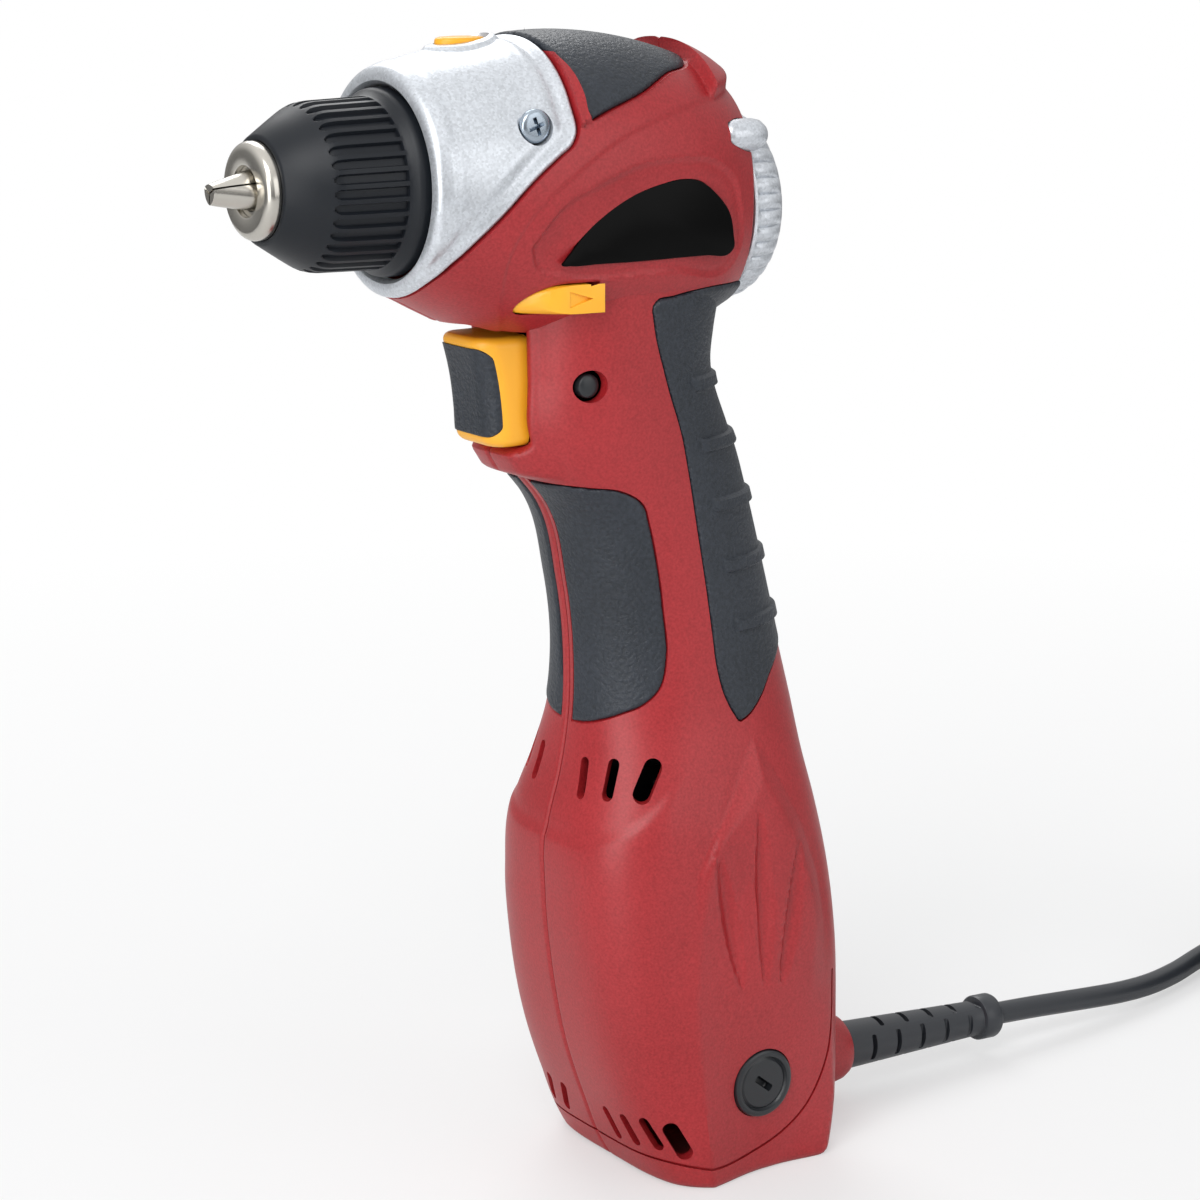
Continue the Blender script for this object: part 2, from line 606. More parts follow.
# %% Heights of the relief
SEAM_DEPTH, SEAM_HALF = 0.5, 0.5
PANEL_RISE, CLAW_HALF, CLAW_DEPTH, SHOULDER_RISE = 1.6, 2.4, 0.68, 0.6
FOOT_IN, FOOT_H = 1.3, 1.8
CHIN_REACH, CHIN_Z = 4.6, (174.6, 177.4, 180.4, 186)
WINDOW_LOW, WINDOW_SIDE, WINDOW_ROUND, RIM_RISE = 186.1, 7.9, 2.4, 0.7
STRAP_RISE, STRAP_MORE, REAR_RISE, UNDER_PAD = 1.3, 1.1, 1.2, 0.15
DISH_STEP, DISH_MORE, REAR_ROUND = 0.9, 0.6, 1.3


def seam_groove(y):
    """Depth of the groove along the seam: a bell curve over y."""
    return SEAM_DEPTH * np.exp(-(y / SEAM_HALF) ** 2)


def handle_relief(x, y, z):
    """Height of the moulded forms over the plain skin of the handle: the sum of the panel, the
    corners, the claws, the shoulder, the foot's round edge, the chin under the trigger and the rim
    of the trigger's window."""
    inside = line_distance(x, z, PANEL, closed=True)
    raised = np.maximum(smooth_step(z, 66, 92), smooth_step(x, -16, 0) * smooth_step(z, 36, 70))
    lift = PANEL_RISE * raised * np.clip(inside / (1.8 + 3.2 * smooth_step(x, -20, -4)), 0, 1)
    middle, a, b, n = handle_sizes(z)
    for corner in CORNERS:
        at, height, width = (np.interp(z, corner[0], row) for row in corner[1:])
        edge_y = b * np.clip(1 - np.abs((at - middle) / a) ** n, 0, 1) ** (1 / n)
        beside = np.hypot(x - at, y - edge_y)
        lift = lift + height * np.clip(1 - beside / width, 0, 1) ** 2
    for top, low in np.array(CLAWS):
        way = low - top
        along = ((x - top[0]) * way[0] + (z - top[1]) * way[1]) / (way ** 2).sum()
        half = CLAW_HALF * np.sin(np.pi * np.clip(along, 0, 1)) ** 0.6 + 1e-6
        off = np.abs(line_distance(x, z, [top, low]))
        lift = lift - CLAW_DEPTH * half * np.clip(1 - (off / half) ** 2, 0, 1)
    below = -line_distance(x, z, SHOULDER)
    step = smooth_step(below, -1.2, 1.4) * (1 - smooth_step(below, 1.4, 16))
    lift = lift + SHOULDER_RISE * step * (1 - smooth_step(x, -30, -22))
    lift = lift - FOOT_IN * np.clip(1 - z / FOOT_H, 0, 1) ** 2
    front = (x < -42) & (z > 170)
    chin = smooth_step(z, *CHIN_Z[:2]) * (1 - smooth_step(z, *CHIN_Z[2:]))
    lift = lift + np.where(front, CHIN_REACH * chin * (1 - smooth_step(y, 6, 15)), 0)
    beside, below = np.clip(y - WINDOW_SIDE, 0, None), np.clip(WINDOW_LOW - z, 0, None)
    rim = np.hypot(beside, below) - WINDOW_ROUND
    lift = lift + np.where(front, RIM_RISE * np.exp(-((rim - 1.5) / 1.1) ** 2) - roll(rim, 0.9), 0)
    return lift - seam_groove(y)


def head_relief(x, y, z, side):
    """Height of the moulded forms over the plain skin of the head: the strap above the crease,
    which thins out under the top grip, the dish round the plate on the left side and the round rear
    edge."""
    above = -line_distance(x, z, CREASE)
    bare = smooth_step(np.maximum(line_distance(x, z, PAD_LINE), (x + 15) * 0.8), -0.6, 0.6)
    strap = STRAP_RISE + STRAP_MORE * smooth_step(line_distance(x, z, JOINT), 0.5, 7)
    lift = strap * smooth_step(above, -0.5, 0.5)
    lift = lift + REAR_RISE * smooth_step(above, -0.9, 1.2) * smooth_step(x, -44, -12) * bare
    lift = lift * (UNDER_PAD + (1 - UNDER_PAD) * bare)
    if side < 0:
        inside = line_distance(x, z, DISH, closed=True)
        lift = lift - DISH_STEP * smooth_step(inside, -0.3,
                                              0.9) - DISH_MORE * smooth_step(inside, 0.5, 6)
    lift = lift - 1.1 * np.clip(1 - (HEAD_X + HEAD_LEN - x) / REAR_ROUND, 0, 1) ** 2
    return lift - seam_groove(y)


print(len(CLAWS), "claws,", len(CORNERS), "corners")

# %% [markdown]
# ## The housing halves
# Each half is built like the moulding: the outer skin of handle and head joined, then hollowed to a
# wall of 2.6 mm, then opened for the gear case, trigger, lever, buttons, brush caps, cord and
# cooling air.

# %% Outer solids
WALL, SEAM = 2.6, 0.1
FAR = 60
EDGE_STEPS, EDGE_END = np.array([0, 0.006, 0.014, 0.024]), 0.036
HANDLE_TOP = 230


def half_angles(count):
    """Angles from 0 to pi with close steps at both ends, where the seam edge rolls over."""
    middle = np.linspace(EDGE_END, np.pi - EDGE_END, count)
    return np.concatenate([EDGE_STEPS, middle, (np.pi - EDGE_STEPS)[::-1]])


def skin_solid(side, where, start, end, rows, columns, lift):
    """One side of the handle or head between two places, its skin raised by lift(x, y, z)."""
    skin, turn = (handle_skin, 0) if where == "handle" else (head_skin, np.pi / 2)
    place, angle = grid(np.linspace(start, end, rows), half_angles(columns) - turn)
    x, y, z = np.moveaxis(skin(place, angle), -1, 0)
    rings = skin(place, angle, lift(x, y, z))
    return tube_solid(where, (rings + [0, SEAM, 0]) * [1, side, 1])


def outer_half(side):
    """Handle and head of one side as one solid."""
    half = skin_solid(side, "handle", 0, HANDLE_TOP, 330, 136, handle_relief)
    head = skin_solid(side, "head", HEAD_X, HEAD_X + HEAD_LEN, 230, 150,
                      lambda x, y, z: head_relief(x, y, z, side))
    return carve(half, head, "UNION")


def layer(name, side, outline, spans, low, lift, start_y):
    """The layer of the skin inside a side view outline, from the depth low up to lift(x, y, z).
    Spans give the parts of handle and head that it lies on; it begins at start_y from the seam."""
    solid = None
    for where, start, end, rows, columns in spans:
        part = skin_solid(side, where, start, end, rows, columns, lift)
        solid = carve(solid, part, "UNION") if solid else part
    carve(solid, side_prism("edge", outline, *sorted((side * start_y, side * FAR))), "INTERSECT")
    for where, start, end, rows, columns in spans:
        carve(solid, skin_solid(side, where, start - 2, end + 2, rows // 2, columns // 2,
                                lambda x, y, z: low + 0 * x))
    solid.name = name
    return solid


# %% Cooling slots
# y and z of the upper end, y and z of the lower end, width
VENTS = [(8.8, 107.7, 10.1, 98, 2.6), (16.2, 108.5, 17.2, 98.8, 3), (22.4, 108.7, 23, 98.8, 4.6),
         (8.9, 18.4, 11.6, 10, 2.7), (15.8, 18.6, 18.4, 10.5, 2.7), (22.1, 19.4, 24.3, 10.8, 2.9),
         (26.8, 18.6, 27.7, 8.9, 4)]
VENT_IN, VENT_OUT = 7, 4


def vent(side, y_top, z_top, y_low, z_low, width):
    """A slot with round ends in the handle's front, swept along the skin's normal there."""
    y, z = np.array([y_top, y_low]), np.array([z_top, z_low])
    middle, a, b, n = handle_sizes(z)
    x = middle - a * (1 - np.clip(y / b, 0, 1) ** n) ** (1 / n)
    top, low = np.column_stack([x, y, z])
    mid_x, mid_y, power = (x - middle).mean(), y.mean(), n[0] - 1
    out = np.array([np.sign(mid_x) * np.abs(mid_x) ** power / a[0] ** n[0],
                    mid_y ** power / b[0] ** n[0], 0])
    out /= np.linalg.norm(out)
    along = (low - top) / np.linalg.norm(low - top)
    across = np.cross(out, along)
    t = np.linspace(0, np.pi, 9)[:, None]
    end = width / 2 * (np.cos(t) * across - np.sin(t) * along)
    ring = np.vstack([top + width / 2 * along + end, low - width / 2 * along - end])
    slot = tube_solid("vent", np.stack([ring - VENT_IN * out, ring + VENT_OUT * out]))
    return on_side(slot, side)


# %% Places of the openings
LUG_Y, LUG_Z = 20.9, 252.4
LEVER_X, LEVER_Z, LEVER_HALF, LEVER_REACH = -40, 219.1, 3.2, 29.5
LOCK_ON_X, LOCK_ON_Z = -47.5, 198.3
CASE_FRONT = [(-130, 190), (-130, 300)]
PLATE = through([(-59.3, 227.4), (-50, 236.4), (-39.9, 241.7), (-32.8, 243.5), (-27.6, 244.2),
                 (-21.5, 243.4), (-16.9, 240.2), (-13.2, 235.6), (-12.2, 231), (-12.1, 227.6),
                 (-13.2, 226.5), (-20, 226.4), (-30, 226.4), (-40, 226.4),
                 (-50, 226.5), (-57, 226.6), (-59.2, 227), (-59.3, 227.4)], 140)[:-1]
PLATE_Y = 26.13
POSTS = np.array([[-0.66, 0.112], [-0.82, 0.335], [0.275, 0.47], [-0.72, 0.731], [-0.93, 0.94],
                  [-0.3, 1.063]])
POSTS = POSTS * [REACH, AXIS_H]
BRUSH_X, BRUSH_Z = -4, 24.4
print(len(VENTS), "vents and", len(POSTS), "screw posts on each side")

# %% Outlines of the grips
PAD_GAP, PAD_ROOT, SEAT_DEPTH = 0.35, 1.4, 1.5
FRONT_PAD = through([(-53, 174.9), (-45, 174.1), (-38.3, 173.1), (-32.5, 169.4), (-30.4, 163.9),
                     (-27.9, 153.4), (-26.3, 142.9), (-25.4, 132.4), (-27.5, 124.2), (-31.2, 120.6),
                     (-35.1, 118.5), (-38.8, 116.1), (-42.5, 113)], 90)
REAR_PAD = through([(2, 218.8), (-4.1, 218.8), (-16.1, 218.8), (-27.1, 217.7), (-32, 216.9),
                    (-33, 215.6), (-32.6, 212.5), (-28, 197.5), (-22.9, 183.9), (-21, 176),
                    (-18.4, 162.9), (-15.9, 149.5), (-13.9, 136.3), (-12.9, 128.2), (-11.2, 121.4),
                    (-8.7, 116.4), (-7.2, 114.4), (-5.4, 114.9), (0.5, 119.2), (4.4, 123.5),
                    (10, 127.6), (22, 135)], 140)
TOP_PAD = through([(-54.6, 280), (-54.3, 272.7), (-52.9, 269.4), (-52.2, 264.2), (-52.1, 259.4),
                   (-51.3, 258.1), (-49.6, 258.6), (-46.7, 259.7), (-36.5, 263), (-26.4, 266.8),
                   (-15.1, 269.5), (-15.1, 280)], 90)
PADS = {
    # name: outline, where its seat and the grip itself begin beside the seam, and the parts of
    # the skin that it covers (which one, from, to, rows, columns)
    "front": (np.vstack([FRONT_PAD, [(-80, 113), (-80, 174.9)]]), 2.1, 2.1 + PAD_GAP,
              [("handle", 108, 178, 200, 200)]),
    "rear": (np.vstack([REAR_PAD, [(40, 135), (40, 218.8)]]), -1, 0.06,
             [("handle", 110, 226, 300, 200), ("head", -52, -3, 130, 170)]),
    "top": (TOP_PAD, -1, 0.06, [("head", -58, -12, 150, 240)]),
}
RIBS_Z = np.array([196.2, 181.6, 167.1, 152.2, 137.5])
RIB_RISE, RIB_START, RIB_LEAN = 1.0, (-20.2, 197), 0.2265
PAD_LOW, PAD_RISE, PAD_EDGE = -0.7, 1.2, 0.8

# %% Grips and their seats
def grown(outline, by):
    """The closed outline moved outward by a distance, along the mean of its neighbouring edge
    normals."""
    step = np.roll(outline, -1, 0) - np.roll(outline, 1, 0)
    normal = np.column_stack([step[:, 1], -step[:, 0]]) / np.linalg.norm(step, axis=1)[:, None]
    loop = np.roll(outline, -1, 0)
    area = (outline[:, 0] * loop[:, 1] - outline[:, 1] * loop[:, 0]).sum()
    return outline + normal * by * np.sign(area)


def pad(kind, side):
    """A grip: 0.5 mm proud, with an edge that rolls down into the groove, and ribs on the rear
    one."""
    outline, seat_y, start_y, spans = PADS[kind]

    def lift(x, y, z):
        """A quarter round at the edge, and the ribs."""
        inside = line_distance(x, z, outline, closed=True)
        if seat_y > 0:
            inside = np.minimum(inside, y + SEAM - seat_y)
        edge = 1 - np.clip((inside - 0.3) / PAD_EDGE, 0, 1)
        height = PAD_LOW + PAD_RISE * np.sqrt(1 - edge ** 2)
        if kind == "rear":
            near = np.abs(z[..., None] - RIBS_Z).min(-1)
            start = RIB_START[0] + (RIB_START[1] - z) * RIB_LEAN
            rib = smooth_step(-near, -1.7, -1.25) * smooth_step(x - start, -0.5, 0.5)
            height = height + RIB_RISE * rib
        return height

    name = f"{dict(SIDES)[side]}_{kind}_pad"
    return layer(name, side, grown(outline, -PAD_GAP), spans, -PAD_ROOT, lift, start_y)


def pocket(kind, side):
    """The seat of a grip in the shell, deeper than the grip and wider all round by its gap."""
    outline, seat_y, start_y, spans = PADS[kind]
    coarse = [(where, start, end, rows // 2, columns // 2)
              for where, start, end, rows, columns in spans]
    return layer("seat", side, outline, coarse, -SEAT_DEPTH, lambda x, y, z: 4 + 0 * x, seat_y)


# %% Hollows, slot and groove
def inner_solids():
    """The hollow of the handle and of the head, both sides at once."""
    z, angle = grid(np.linspace(WALL, HANDLE_TOP - 2, 90), around(96))
    yield tube_solid("hollow", handle_skin(z, angle, -WALL))
    x, angle = grid(np.linspace(HEAD_X, HEAD_X + HEAD_LEN - WALL, 60), around(96))
    yield tube_solid("hollow", head_skin(x, angle, -WALL))


BASE_GROOVE_W, BASE_GROOVE_DEPTH = 0.7, 0.8


def lever_sweep(gap):
    """The round space that the lever's end sweeps about its post, and a gap round it."""
    t = np.linspace(-np.pi / 2, np.pi / 2, 17)
    half = LEVER_HALF + gap
    edge = np.column_stack([LEVER_Z + half * np.sin(t), LEVER_REACH + half * np.cos(t)])
    return turned("sweep", edge, (LEVER_X, 0, 0), "z", 160)


def base_groove(side):
    """A groove along the base line, cut into the raised skin."""
    step = np.gradient(BASE_LINE, axis=0)
    across = np.column_stack([-step[:, 1], step[:, 0]]) / np.linalg.norm(step, axis=1)[:, None]
    beside = BASE_GROOVE_W / 2 * across
    ribbon = np.vstack([BASE_LINE + beside, (BASE_LINE - beside)[::-1]])
    groove = skin_solid(side, "handle", 1, 60, 120, 136, lambda x, y, z: handle_relief(x, y, z) + 2)
    carve(groove, side_prism("ribbon", ribbon, -FAR, FAR), "INTERSECT")
    return carve(groove, skin_solid(side, "handle", 0, 62, 124, 136,
                                    lambda x, y, z: handle_relief(x, y, z) - BASE_GROOVE_DEPTH))


# %% Raised and cut forms of one half
BOSS = [(18, 9.2), (39.4, 9.2), (41.6, 8.9), (43.2, 8.2), (44, 7.2)]
EAR_END = -11.7
EAR = [(-25, 1.4), (-21, 2.8), (-16, 3.6), (EAR_END, 3.6)]
POST_R, WELL_R, WELL_FLOOR = 4.8, 4.05, 8.4
BRUSH_SEAT_R, LOCK_HOLE_R, LUG_SEAT_R, ENTRY_R, REAR_HOLE_R = 8.75, 3.75, 4, 6.6, 9
WINDOW = (-120, -10.3, 183.7), (-49.4, 10.3, 213)
SLOT_GAP, SLOT_END = 0.4, -48.3


def add_bosses(side, half):
    """The half with the boss of the cord guard and the ear in front of the cap's lug."""
    boss = turned("boss", BOSS, (0, 0, GUARD_Z))
    other = sorted((-side * FAR, side * SEAM))
    carve(boss, block("mate", (0, other[0], 0), (FAR, other[1], FAR)))
    carve(half, boss, "UNION")
    return carve(half, turned("ear", EAR, (0, side * LUG_Y, LUG_Z)), "UNION")


def screw_posts(side, outside):
    """The posts that the housing screws hold, trimmed to the outer form."""
    posts = [turned("post", [(1, POST_R), (34, POST_R)], (x, 0, z), "y", 40) for x, z in POSTS]
    return carve(on_side(merged("posts", posts), side), outside, "INTERSECT")


def side_cuts(side):
    """The holes in one side: vents, brush, screws, lock button, plate and lug."""
    cuts = [vent(side, *slot) for slot in VENTS]
    brush = [(side * 24, BRUSH_SEAT_R), (side * 40, BRUSH_SEAT_R)]
    cuts.append(turned("brush_seat", brush, (BRUSH_X, 0, BRUSH_Z), "y", 72))
    if side > 0:
        well = [(WELL_FLOOR, WELL_R), (40, WELL_R)]
        cuts += [turned("screw_well", well, (x, 0, z), "y", 40) for x, z in POSTS]
    else:
        hole = [(-10, LOCK_HOLE_R), (-30, LOCK_HOLE_R)]
        cuts.append(turned("lock_hole", hole, (LOCK_ON_X, 0, LOCK_ON_Z), "y", 48))
        cuts.append(side_prism("plate_seat", PLATE, -40, -PLATE_Y))
    lug = [(EAR_END, LUG_SEAT_R), (6, LUG_SEAT_R)]
    cuts.append(turned("lug_seat", lug, (0, side * LUG_Y, LUG_Z)))
    return merged("cuts", cuts)


# %% The two halves
def housing(side):
    """One finished half of the shell."""
    half = add_bosses(side, outer_half(side))
    outside = placed("outside", half.data.copy())
    for hollow in inner_solids():
        carve(half, hollow)
    carve(half, screw_posts(side, outside), "UNION")
    for kind in PADS:
        carve(half, pocket(kind, side))
    carve(half, side_prism("case_space", [*JOINT, *CASE_FRONT], -FAR, FAR))
    carve(half, side_cuts(side))
    carve(half, base_groove(side))
    carve(half, rounded(block("window", *WINDOW), WINDOW_ROUND, 6))
    front_part = block("front_part", (-100, -FAR, 200), (SLOT_END, FAR, 240))
    carve(half, carve(lever_sweep(SLOT_GAP), front_part, "INTERSECT"))
    carve(half, turned("entry", [(10, ENTRY_R), (46, ENTRY_R)], (0, 0, GUARD_Z)))
    return carve(half, turned("rear_hole", [(-12, REAR_HOLE_R), (0, REAR_HOLE_R)], (0, 0, AXIS_H)))


for side, word in SIDES:
    shell = dress(housing(side), "red_shell", "housing", [f"{word}_housing"])
    shell.name = word + "_shell"

# %% [markdown]
# ## The grips
# Soft rubber is moulded into seats in the hard shell after the shell is made, so each grip fills
# its seat, stands a little proud and rolls over at its edge. The rear grip carries five ribs for
# the palm.

# %% Grips
for kind in PADS:
    for side, word in SIDES:
        dress(pad(kind, side), "grip_rubber", "housing", [f"{word}_{kind}_grip"], 40)

# %% [markdown]
# ## The gear case
# The front of the head is a separate casting. It follows the same upright sections as the head,
# with a lip round the mouth, a shallow hollow along its rear edge, and a raised oval round the
# spindle lock button. A cut along the joint line parts it from the shell with a gap of half a
# millimetre.

# %% Gear case
LOCK_X = -68.4
JOINT_GAP, CASE_EDGE, MOUTH_EDGE = 0.5, 0.9, 1.6
SCREW_X, SCREW_Z = -65, 257.5
MOUTH = [(-95, 23.4), (HEAD_X, 22.2), (-88.7, 21.5), (-88, 21.3), (-72.5, 21.3)]
BORE_R, SCREW_SEAT_R, SCREW_SEAT_Y = 11.2, 4.1, 23.9


def case_relief(x, y, z):
    """Height of the cast forms over the plain skin of the head: round edges, a hollow and a swell
    that follow the joint, the lip of the mouth and the raised oval on top."""
    inside = -line_distance(x, z, JOINT) - JOINT_GAP
    lift = -roll(inside, CASE_EDGE) - roll(x - HEAD_X, MOUTH_EDGE)
    hollow, swell = np.exp(-((inside - 3.3) / 1.5) ** 2), np.exp(-((inside - 6.6) / 1.5) ** 2)
    lift = lift - 0.5 * hollow + 0.25 * swell
    lift = lift + 0.45 * (1 - smooth_step(x, -86.2, -83.6))
    oval = np.hypot((x - LOCK_X) / 8.4, y / 6.2)
    return lift + np.where(z > AXIS_H, 0.9 * (1 - smooth_step(oval, 0.94, 1.12)), 0)


def lock_oval(name, levels):
    """Level ovals about the lock's place, one for each (scale, z)."""
    t = around(64)
    x, y = 6.3 * np.cos(t), 4.1 * np.sin(t)
    rings = [np.column_stack([LOCK_X + s * x, s * y, np.full(len(t), z)]) for s, z in levels]
    return tube_solid(name, np.stack(rings))


x, angle = grid(np.linspace(HEAD_X, -53, 190), around(420))
lift = case_relief(*np.moveaxis(head_skin(x, angle), -1, 0))
case = tube_solid("gear_case_skin", head_skin(x, angle, lift))
carve(case, side_prism("front", [*(JOINT - [JOINT_GAP, 0]), *CASE_FRONT], -FAR, FAR), "INTERSECT")
x, angle = grid(np.linspace(-70, -50, 24), around(120))
carve(case, tube_solid("hollow", head_skin(x, angle, -WALL)))
carve(case, turned("mouth", MOUTH, (0, 0, AXIS_H), "x", 120))
carve(case, turned("bore", [(-80, BORE_R), (-60, BORE_R)], (0, 0, AXIS_H)))
carve(case, lock_oval("well", [(1.02, 267.2), (1.02, 274.6), (1.14, 276), (1.14, 282)]))
for side in (-1, 1):
    seat = [(side * SCREW_SEAT_Y, SCREW_SEAT_R), (side * 40, SCREW_SEAT_R)]
    carve(case, turned("seat", seat, (SCREW_X, 0, SCREW_Z), "y", 56))
dress(case, "silver_paint", "housing", ["gear_case"])

# %% [markdown]
# ## Screws of the gear case
# A pan head with a cross recess on each side. The recess is two crossed bars that narrow towards
# the bottom.

# %% Cross-head screws
SCREW = [(17.9, 0.01), (17.9, 1.6), (23.9, 1.6), (23.95, 3.3), (24.4, 3.75), (25.1, 3.75),
         (25.5, 3.55), (25.8, 3.1), (25.92, 2.2), (25.95, 0.01)]
RECESS = [(1.0, 0.28, 24.3), (2.25, 0.5, 26.2)]
RECESS_TURN = 0.35


def cross_screw(side):
    """A screw along Y: a turned head and shank, less two bars of (half length, half width, y) at
    both ends."""
    screw = turned("case_screw", SCREW, (0, 0, 0), "y", 56)
    for turn in (RECESS_TURN, RECESS_TURN + np.pi / 2):
        rings = np.array([[(-a, y, -b), (a, y, -b), (a, y, b), (-a, y, b)] for a, b, y in RECESS])
        bar = tube_solid("bar", rings)
        bar.data.transform(Matrix.Rotation(-turn, 4, "Y"))
        carve(screw, bar)
    screw.data.transform(Matrix.Translation((SCREW_X * MM, 0, SCREW_Z * MM)))
    return on_side(screw, side)


zinc = finish("zinc_plated_steel", "B4BEC8", "9AA6B2", 0.26, 0.3, 0.004, metallic=1.0)
screws = merged("case_screws", [cross_screw(side) for side in (-1, 1)])
dress(screws, "steel", "housing", ["gear_case_screws"], look=zinc)

# %% [markdown]
# ## The chuck
# The sleeve is a turned and moulded ring: a cone, a barrel with 36 flat grooves for the hand, and a
# plain band that runs in the mouth of the gear case. A groove has a round front end and a square
# rear end.

# %% Chuck sleeve and nose ring
def ring_grid(name, profile, sides, origin, lift=None):
    """A closed profile of (x, r) turned about X, each radius raised by lift(x, r, angle)."""
    along, radius = np.array(profile, float).T
    t = around(sides)[None, :]
    a, r = np.broadcast_arrays(along[:, None], radius[:, None] + 0 * t)
    r = r + (lift(a, r, t) if lift else 0)
    points = np.stack([a, r * np.cos(t), r * np.sin(t)], -1) + np.array(origin, float)
    return face_outward(mesh_object(name, points, quads(*r.shape, wrap_rows=True, wrap_cols=True)))


GROOVES, GROOVE_START, GROOVE_END, GROOVE_DEPTH, GROOVE_SHARE = 36, -110.4, -93, 0.95, 0.34


def sleeve_grooves(x, r, t):
    """Depth of the grooves: full in the middle of each, none on the ribs, the cone and the rear
    band. Off is the distance to the middle of the nearest groove as a share of the pitch."""
    off = np.abs((t * GROOVES / (2 * np.pi) + 0.5) % 1 - 0.5)
    front = np.clip((x - GROOVE_START) / 1.6, 0, 1)
    half = GROOVE_SHARE * np.sqrt(1 - (1 - front) ** 2)
    depth = smooth_step(half - off, -0.005, 0.075) * (x > GROOVE_START) * (x < GROOVE_END)
    return np.where(r > 17, -GROOVE_DEPTH * depth, 0)


BARREL_X = [-111, -110.2, -109.2, -108.2, -106.5, -93]
BARREL_R = [17.2, 17.65, 18.08, 18.35, 18.55, 18.9]
barrel = np.linspace(-110.9, -93.1, 52)
outer = [(-119.5, 10.8), (-119.5, 11.7), (-119.2, 12.1), (-113.4, 15.75), (-111, 17.2),
         *zip(barrel, np.interp(barrel, BARREL_X, BARREL_R)), (-92.95, 18.9), (-92.3, 19.15),
         (-91.3, 20.1), (-90.7, 20.55), (-90, 20.7), (-87.9, 20.7), (-87.5, 20.3)]
inner = [(-87.5, 16.6), (-104, 16.6), (-113.5, 10.8)]
sleeve = ring_grid("sleeve", outer + inner, 720, (0, 0, AXIS_H), sleeve_grooves)
dress(sleeve, "sleeve_plastic", "sleeve", ["chuck_sleeve"], 40)
NOSE_X, NOSE_R, NOSE_ROUND = -120.9, 8.7, 2
a = np.linspace(0.1, np.pi / 2, 12)
nose = [(-118.3, 9.45), (-118.3, 10.55), (-118.5, 10.7), (NOSE_X, 10.7),
        *zip(NOSE_X - NOSE_ROUND * np.sin(a), NOSE_R + NOSE_ROUND * np.cos(a)), (-122.9, 6.1),
        (-122.7, 5.65), (-121.6, 5.6), (-121.6, 9.45)]
dress(ring_grid("nose", nose, 96, (0, 0, AXIS_H)), "steel", "spindle", ["nose_ring"], 40)

# %% [markdown]
# ## The rear cap
# A cast cap closes the rear of the head. Its rim is ribbed, and two lugs reach forward from it into
# seats in the shell.

# %% Rear cap
CAP_Z, CAP_R, CAP_FRONT, CAP_EDGE = 235, 23, -2.95, 0.65
SCALLOPS, SCALLOP_DEPTH = 36, 1.0
LUG = [(-11.4, 3.1), (-10.8, 3.6), (-10, 3.8), (-3.4, 3.8), (-1.6, 3.4), (-0.2, 2.4), (0.4, 1.2)]


def cap_ribs(x, r, t):
    """Scallops in the rim, |sin| of half their count times the angle, gone on the round edge."""
    wave = np.abs(np.sin(SCALLOPS / 2 * t)) ** 0.7
    run = smooth_step(x, -2.2, -1.4) * (1 - smooth_step(x, 3.6, 7.2))
    return np.where(r > 15, -SCALLOP_DEPTH * (1 - wave) * run, 0)


side_line = [(x, CAP_R) for x in np.linspace(CAP_FRONT, CAP_EDGE, 8)[1:]]
a = np.linspace(0.08, np.pi / 2, 22)
round_line = zip(CAP_EDGE + 7.2 * np.sin(a), 16.56 + 6.44 * np.cos(a))
cap_line = [(CAP_FRONT, 8), (CAP_FRONT, 22.6), *side_line, *round_line, (8.6, 12), (9.05, 9.2),
            (9.05, 0.3), (4, 0.3), (4, 8)]
cap = ring_grid("cap", cap_line, 432, (0, 0, CAP_Z), cap_ribs)
for side in (-1, 1):
    carve(cap, turned("lug", LUG, (0, side * LUG_Y, LUG_Z)), "UNION")
dress(cap, "silver_paint", "housing", ["rear_cap"])

# %% [markdown]
# ## Brush caps
# A screwed cap covers each carbon brush. It has a raised middle and a slot for a driver or a coin.

# %% Brush caps
BRUSH_CAP = [(26.5, 0.01), (26.5, 8.5), (30.9, 8.5), (31.4, 8.3), (31.65, 7.9), (31.7, 7.4),
             (31.6, 6.9), (31.1, 6.7), (30.9, 6.5), (31, 6.25), (31.3, 5.9), (31.35, 0.01)]
COIN_SLOT, COIN_TURN = ((-0.9, 28.6, -2.9), (0.9, 34, 2.9)), np.radians(-51)


def brush_cap(side):
    """A cap along Y with its slot turned as in the photograph."""
    cap = turned("brush_cap", BRUSH_CAP, (0, 0, 0), "y", 80)
    slot = rounded(block("slot", *COIN_SLOT), 0.5)
    slot.data.transform(Matrix.Rotation(COIN_TURN, 4, "Y"))
    carve(cap, slot)
    cap.data.transform(Matrix.Translation((BRUSH_X * MM, 0, BRUSH_Z * MM)))
    return on_side(cap, side)


for side, word in SIDES:
    screwed = dress(brush_cap(side), "black_plastic", "housing", [f"{word}_brush_cap"])
    screwed.name = word + "_cap"

# %% [markdown]
# ## The trigger
# The trigger is a moulding with a concave front. A rubber pad is let into the front where the
# finger lies.

# %% Trigger and its pad
TRIGGER = np.array([(184, -66.4), (186.6, -66.7), (191.7, -67), (201.4, -68.4), (206, -69.6),
                    (209.6, -70.7)])
TRIGGER_REAR, TRIGGER_HALF, TRIGGER_CORNER = -57, 9.8, 5.5
TRIGGER_Z, TRIGGER_EDGE = (184, 209.3), 2.3
FINGER_Z, FINGER_HALF, FINGER_ROUND = (186.6, 206.9), 9.2, 2.6
SEAT_FIT, FINGER_RISE, FINGER_DEPTH = 0.08, 0.35, 1.5


